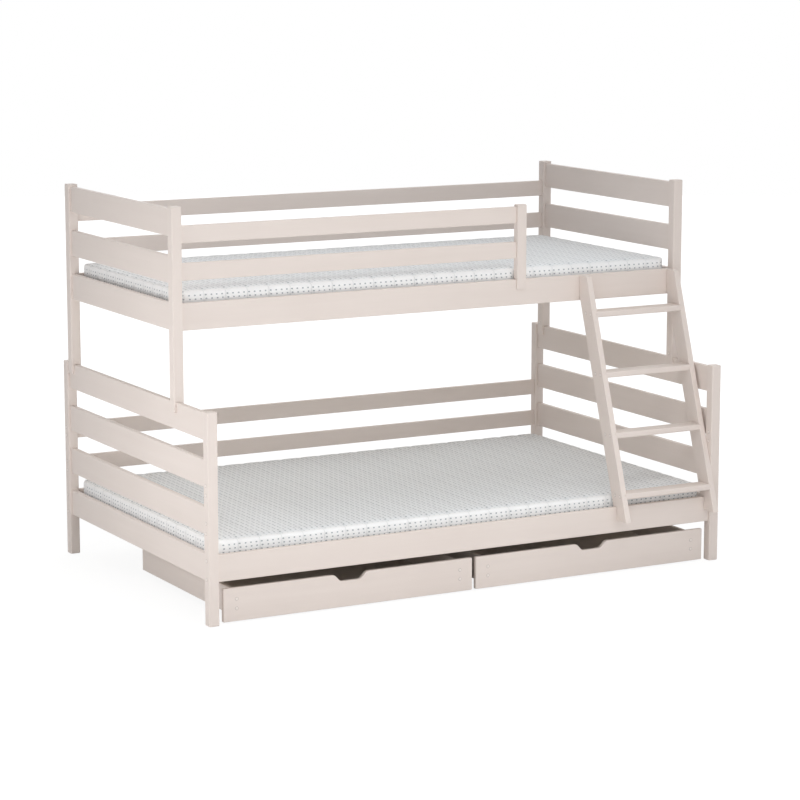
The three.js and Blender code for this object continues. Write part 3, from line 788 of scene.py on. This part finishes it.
def add_disc(radius, depth, proud):
    clear_selection()
    bpy.ops.mesh.primitive_cylinder_add(vertices=24, radius=radius, depth=depth,
                                        location=(0, 0, proud - depth / 2))
    bpy.ops.object.transform_apply(location=True, rotation=True, scale=True)
    return bpy.context.object


def model_plug():
    made = add_disc(PLUG_RADIUS, PLUG_DEPTH, PLUG_PROUD)
    bpy.ops.object.mode_set(mode="EDIT")
    bpy.ops.mesh.select_all(action="DESELECT")
    bpy.ops.object.mode_set(mode="OBJECT")
    for face in made.data.polygons:
        face.select = face.normal.z > 0.9
    bpy.ops.object.mode_set(mode="EDIT")
    bpy.ops.mesh.select_mode(type="FACE")
    bpy.ops.mesh.bevel(offset=PLUG_BEVEL, segments=2)
    bpy.ops.object.mode_set(mode="OBJECT")
    add_disc(SHADOW_DISC_RADIUS, SHADOW_DISC_DEPTH, SHADOW_DISC_PROUD)
    made.select_set(True)
    bpy.context.view_layer.objects.active = made
    bpy.ops.object.join()
    bpy.ops.object.shade_smooth_by_angle(angle=math.radians(40))
    points = points_of(made.data)
    # Points of the wider disc, outside the plug, get the painted gap shadow.
    in_painted_gap_shadow = np.hypot(points[:, 0], points[:, 1]) > PLUG_RADIUS + 0.0002
    add_values(made.data, "painted_gap_shadow", in_painted_gap_shadow.astype(float))
    return made


plug_shape = model_plug()
plug_mesh = plug_shape.data.copy()
bpy.data.objects.remove(plug_shape)
print("plug", len(plug_mesh.polygons), "faces")

# %% [markdown]
# The plugs are painted with the boards, with a painted highlight on their faces and a painted
# shadow on the gap round them, so their paint is a copy of the boards' with these two colours
# blended in. The attribute that the plug's mesh carries says where the painted gap shadow is.

# %% Paint for the plugs
# Painted highlight on the face of each plug.
PLUG_FACE_PAINTED_HIGHLIGHT = (0.90, 0.84, 0.80)
# Painted shadow for the gap round each plug.
PLUG_GAP_PAINTED_SHADOW = (0.50, 0.44, 0.41)

plug_paint = painted_wood("satin paint on plugs with painted highlight and shadow", "Z")
tree = plug_paint.node_tree
socket = tree.nodes["Principled BSDF"].inputs["Base Color"]
# The face of the plug gets its painted highlight.
face_painted_highlight = blend_colors(tree, 0.6, socket.links[0].from_socket, PLUG_FACE_PAINTED_HIGHLIGHT)
# Where the plug's mesh says the gap is, a painted shadow replaces the paint.
in_painted_gap_shadow = node(tree, "ShaderNodeAttribute", attribute_name="painted_gap_shadow").outputs["Fac"]
put(tree, blend_colors(tree, in_painted_gap_shadow, face_painted_highlight, PLUG_GAP_PAINTED_SHADOW), socket)
print("paint", plug_paint.name)

# %% [markdown]
# A set of plugs is made of copies of the one mesh. Each copy is turned to the face that it sits
# in and moved to its hole, and the copies of one set are joined into one piece.

# %% Helper for a set of plugs


def set_plugs(name, places, facing, body):
    turn = Vector(facing).to_track_quat("Z", "Y").to_matrix().to_4x4()
    clear_selection()
    pieces = []
    for place in places:
        piece = bpy.data.objects.new(name, plug_mesh.copy())
        piece.data.transform(Matrix.Translation(place) @ turn)
        bpy.context.scene.collection.objects.link(piece)
        piece.select_set(True)
        pieces.append(piece)
    made = bpy.context.view_layer.objects.active = pieces[0]
    if len(pieces) > 1:
        bpy.ops.object.join()
    made.name = name
    made.data.materials.clear()
    made.data.materials.append(plug_paint)
    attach(made, body)
    print(name, len(places))


def outer_and_inner(name, facing):
    low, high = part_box(name)
    return (low.x, high.x) if facing < 0 else (high.x, low.x)


ENDS = (("left", -1), ("right", 1))
print("plug helpers ready")

# %% [markdown]
# The plugs show on the ladder's stiles, in pairs beside each tread, and on the drawer fronts over
# the ends of the drawer sides.

# %% Set the plugs of the ladder and the drawers
TREAD_PLUG_SHIFT = 0.0165
DRAWER_PLUG_HEIGHTS = (0.0495, 0.0825)

treads = [middle(n) for n in sorted(nodes) if "ladder_tread" in n]
for side, facing in ENDS:
    x, _ = outer_and_inner("ladder_stile_" + side, facing)
    spots = [Vector((x, centre.y + shift, centre.z)) for centre in treads
             for shift in (-TREAD_PLUG_SHIFT, TREAD_PLUG_SHIFT)]
    set_plugs("ladder_plugs_" + side, spots, (facing, 0, 0), "bed_frame")

for side, _ in ENDS:
    face_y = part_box(side + "_drawer_front")[0].y
    walls = [middle(f"{side}_drawer_side_{end}").x for end, _ in ENDS]
    spots = [Vector((x, face_y, z)) for x in walls for z in DRAWER_PLUG_HEIGHTS]
    set_plugs(side + "_drawer_plugs", spots, (0, -1, 0), side + "_drawer")

# %% [markdown]
# The lower posts have plugs over the bolts of the side rails. Higher up, each lower post has two
# more pairs, through its whole thickness, and each upper post has one plug above the board that
# its foot straddles.

# %% Set the plugs of the posts
RAIL_BOLTS = (0.161, 0.225)
POST_HOLES = (0.319, 0.354, 0.451, 0.484)
FOOT_HOLE = 0.741

for side, facing in ENDS:
    for place in ("front", "back"):
        post = f"lower_post_{place}_{side}"
        outer, inner = outer_and_inner(post, facing)
        y = middle(post).y
        spots = [Vector((outer, y, z)) for z in RAIL_BOLTS + POST_HOLES]
        set_plugs(f"post_plugs_{place}_{side}", spots, (facing, 0, 0), "bed_frame")
        spots = [Vector((inner, y, z)) for z in POST_HOLES]
        set_plugs(f"post_inner_plugs_{place}_{side}", spots, (-facing, 0, 0), "bed_frame")
        post = f"upper_post_{place}_{side}"
        _, inner = outer_and_inner(post, facing)
        spots = [Vector((inner, middle(post).y, FOOT_HOLE))]
        set_plugs(f"foot_plug_{place}_{side}", spots, (-facing, 0, 0), "bed_frame")

# %% [markdown]
# The floor is a large pale disc. Close to the bed it takes the soft shadow, and further out it
# fades into the white of the background. Only the camera sees that white, so the floor throws no
# extra light on the bed.

# %% Lay the floor
FLOOR_GREY = (0.68, 0.68, 0.68)
FADES_FROM, FADES_TO = 1.2, 3.0  # metres from the middle of the bed
LEAST_WHITE = 0.8
WHITE_STRENGTH = 1.12

clear_selection()
bpy.ops.mesh.primitive_circle_add(vertices=96, radius=14, fill_type="NGON", location=(0, 0, 0))
floor = bpy.context.object
floor.name = "floor"
pale, tree, shader = new_material("pale floor", 0.8, FLOOR_GREY)
where = node(tree, "ShaderNodeTexCoord").outputs["Object"]
reach = node(tree, "ShaderNodeVectorMath", {0: where}, operation="LENGTH").outputs["Value"]
fade = remap(tree, reach, FADES_FROM, FADES_TO, LEAST_WHITE, 1.0, "SMOOTHSTEP")
seen = node(tree, "ShaderNodeLightPath").outputs["Is Camera Ray"]
glow = node(tree, "ShaderNodeEmission", {"Color": WHITE, "Strength": WHITE_STRENGTH}).outputs[0]
mixed = node(tree, "ShaderNodeMixShader", {0: calc(tree, "MULTIPLY", seen, fade),
                                           1: shader.outputs[0], 2: glow}).outputs[0]
put(tree, mixed, tree.nodes["Material Output"].inputs["Surface"])
floor.data.materials.append(pale)
print("floor laid")
